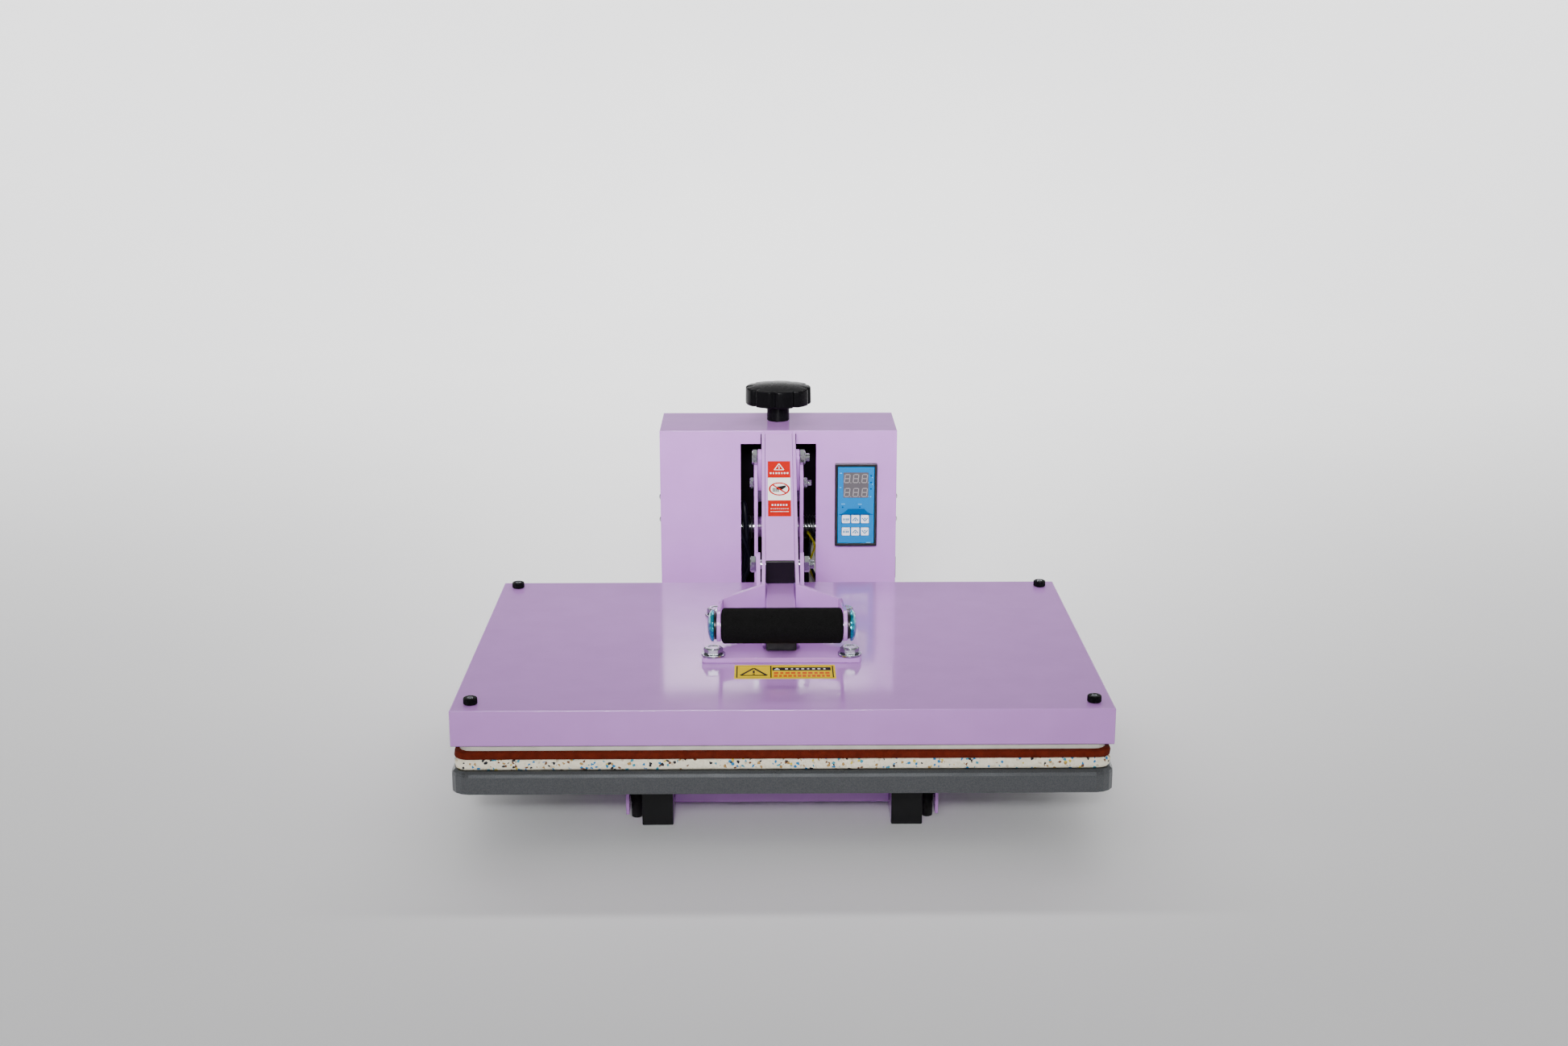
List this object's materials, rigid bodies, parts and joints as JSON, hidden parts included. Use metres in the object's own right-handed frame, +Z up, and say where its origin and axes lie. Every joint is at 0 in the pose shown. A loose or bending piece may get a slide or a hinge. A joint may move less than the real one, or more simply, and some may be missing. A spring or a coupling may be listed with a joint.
{
  "type": "heat press",
  "caption": "Clamshell heat press: flat lower platen with foam and silicone pads, hinged heated head under a square-tube arm, toggle lever with foam grip, rear control box and pressure knob.",
  "frame": {"origin": "on the floor, under the middle of the overall width and depth", "axes": "+Z up, front of the press towards -Y, +X to the right seen from the front"},
  "size_m": [0.616, 0.594, 0.3404],
  "materials": {
    "lilac_paint": "gloss powder coat",
    "tray_paint": "satin silver-grey",
    "cast_alloy": "cast, light grey",
    "silicone": "matt sponge",
    "speckled_foam": "rebonded foam with coloured flecks",
    "black_plastic": "moulded",
    "black_rubber": "ribbed",
    "grip_foam": "matt closed-cell foam",
    "zinc_steel": "zinc plated",
    "spring_steel": "oiled spring wire",
    "teal_metallic": "metallic film",
    "blue_face": "satin printed film",
    "white_key": "satin"
  },
  "bodies": {
    "base": {"base_leg_left": "lilac_paint", "base_leg_right": "lilac_paint", "leg_plug_left": "black_plastic", "leg_plug_right": "black_plastic", "front_crossmember": "lilac_paint", "tower_deck": "lilac_paint", "foot_bracket_left": "lilac_paint", "foot_bracket_right": "lilac_paint", "rubber_foot_left": "black_rubber", "rubber_foot_right": "black_rubber", "lower_platen_tray": "tray_paint", "foam_pad": "speckled_foam", "silicone_pad": "silicone", "tower_side_left": "lilac_paint", "tower_side_right": "lilac_paint", "main_hinge_pin": "zinc_steel", "pressure_nut_block": "zinc_steel", "lift_spring_left": "spring_steel", "lift_spring_right": "spring_steel", "link_tower_bolt_left": "zinc_steel", "link_tower_bolt_right": "zinc_steel", "control_box_hood": "lilac_paint", "control_box_front": "lilac_paint", "control_box_back": "lilac_paint", "controller_housing": "black_plastic", "controller_face": "blue_face", "rocker_switch_frame": "black_plastic", "mains_inlet": "black_plastic"},
    "arm": {"top_cover": "lilac_paint", "heating_platen": "cast_alloy", "arm_mount_plate": "lilac_paint", "arm_tube": "lilac_paint", "arm_tube_plug": "black_plastic", "main_hinge_sleeve": "lilac_paint", "lever_ear_left": "lilac_paint", "lever_ear_right": "lilac_paint", "lever_pivot_bolt": "zinc_steel", "lever_pivot_nut": "zinc_steel"},
    "lever": {"lever_tube": "lilac_paint", "lever_tube_plug": "black_plastic", "handle_fork_left": "lilac_paint", "handle_fork_right": "lilac_paint", "handle_rod": "zinc_steel", "grip_foam": "grip_foam", "handle_cap_left": "teal_metallic", "handle_cap_right": "teal_metallic"},
    "links": {"toggle_link_left": "lilac_paint", "toggle_link_right": "lilac_paint", "toggle_bolt_left": "zinc_steel", "toggle_bolt_right": "zinc_steel"},
    "pressure_knob": {"pressure_knob": "black_plastic", "pressure_screw": "zinc_steel"},
    "rocker": {"rocker_switch": "black_plastic"},
    "key_1_1": {"key_1_1": "white_key"},
    "key_1_2": {"key_1_2": "white_key"},
    "key_1_3": {"key_1_3": "white_key"},
    "key_2_1": {"key_2_1": "white_key"},
    "key_2_2": {"key_2_2": "white_key"},
    "key_2_3": {"key_2_3": "white_key"}
  },
  "joints": [
    {"name": "head_open", "type": "hinge", "parent": "base", "child": "arm", "pos_m": [0, 0.245, 0.1716], "axis": [-1, 0, 0], "range_deg": [0, 30]},
    {"name": "lever_swing", "type": "hinge", "parent": "arm", "child": "lever", "pos_m": [0, -0.0055, 0.1974], "axis": [-1, 0, 0], "range_deg": [-1, 19]},
    {"name": "link_swing", "type": "hinge", "parent": "base", "child": "links", "pos_m": [0, 0.175, 0.2416], "axis": [-1, 0, 0], "range_deg": [-1, 106.5]},
    {"name": "pressure_turn", "type": "hinge", "parent": "base", "child": "pressure_knob", "pos_m": [0, 0.255, 0.2976], "axis": [0, 0, 1], "range_deg": [-720, 720]},
    {"name": "rocker_tilt", "type": "hinge", "parent": "base", "child": "rocker", "pos_m": [0.1347, 0.246, 0.124], "axis": [0, 1, 0], "range_deg": [-6, 10]},
    {"name": "key_1_1_press", "type": "slide", "parent": "base", "child": "key_1_1", "axis": [0, 1, 0], "range_m": [0, 0.0006], "stiffness_N_per_m": 800},
    {"name": "key_1_2_press", "type": "slide", "parent": "base", "child": "key_1_2", "axis": [0, 1, 0], "range_m": [0, 0.0006], "stiffness_N_per_m": 800},
    {"name": "key_1_3_press", "type": "slide", "parent": "base", "child": "key_1_3", "axis": [0, 1, 0], "range_m": [0, 0.0006], "stiffness_N_per_m": 800},
    {"name": "key_2_1_press", "type": "slide", "parent": "base", "child": "key_2_1", "axis": [0, 1, 0], "range_m": [0, 0.0006], "stiffness_N_per_m": 800},
    {"name": "key_2_2_press", "type": "slide", "parent": "base", "child": "key_2_2", "axis": [0, 1, 0], "range_m": [0, 0.0006], "stiffness_N_per_m": 800},
    {"name": "key_2_3_press", "type": "slide", "parent": "base", "child": "key_2_3", "axis": [0, 1, 0], "range_m": [0, 0.0006], "stiffness_N_per_m": 800}
  ],
  "couplings": [
    {"joint": "lever_swing", "follows": "head_open", "ratio": 0.6},
    {"joint": "link_swing", "follows": "head_open", "ratio": 3.5}
  ]
}
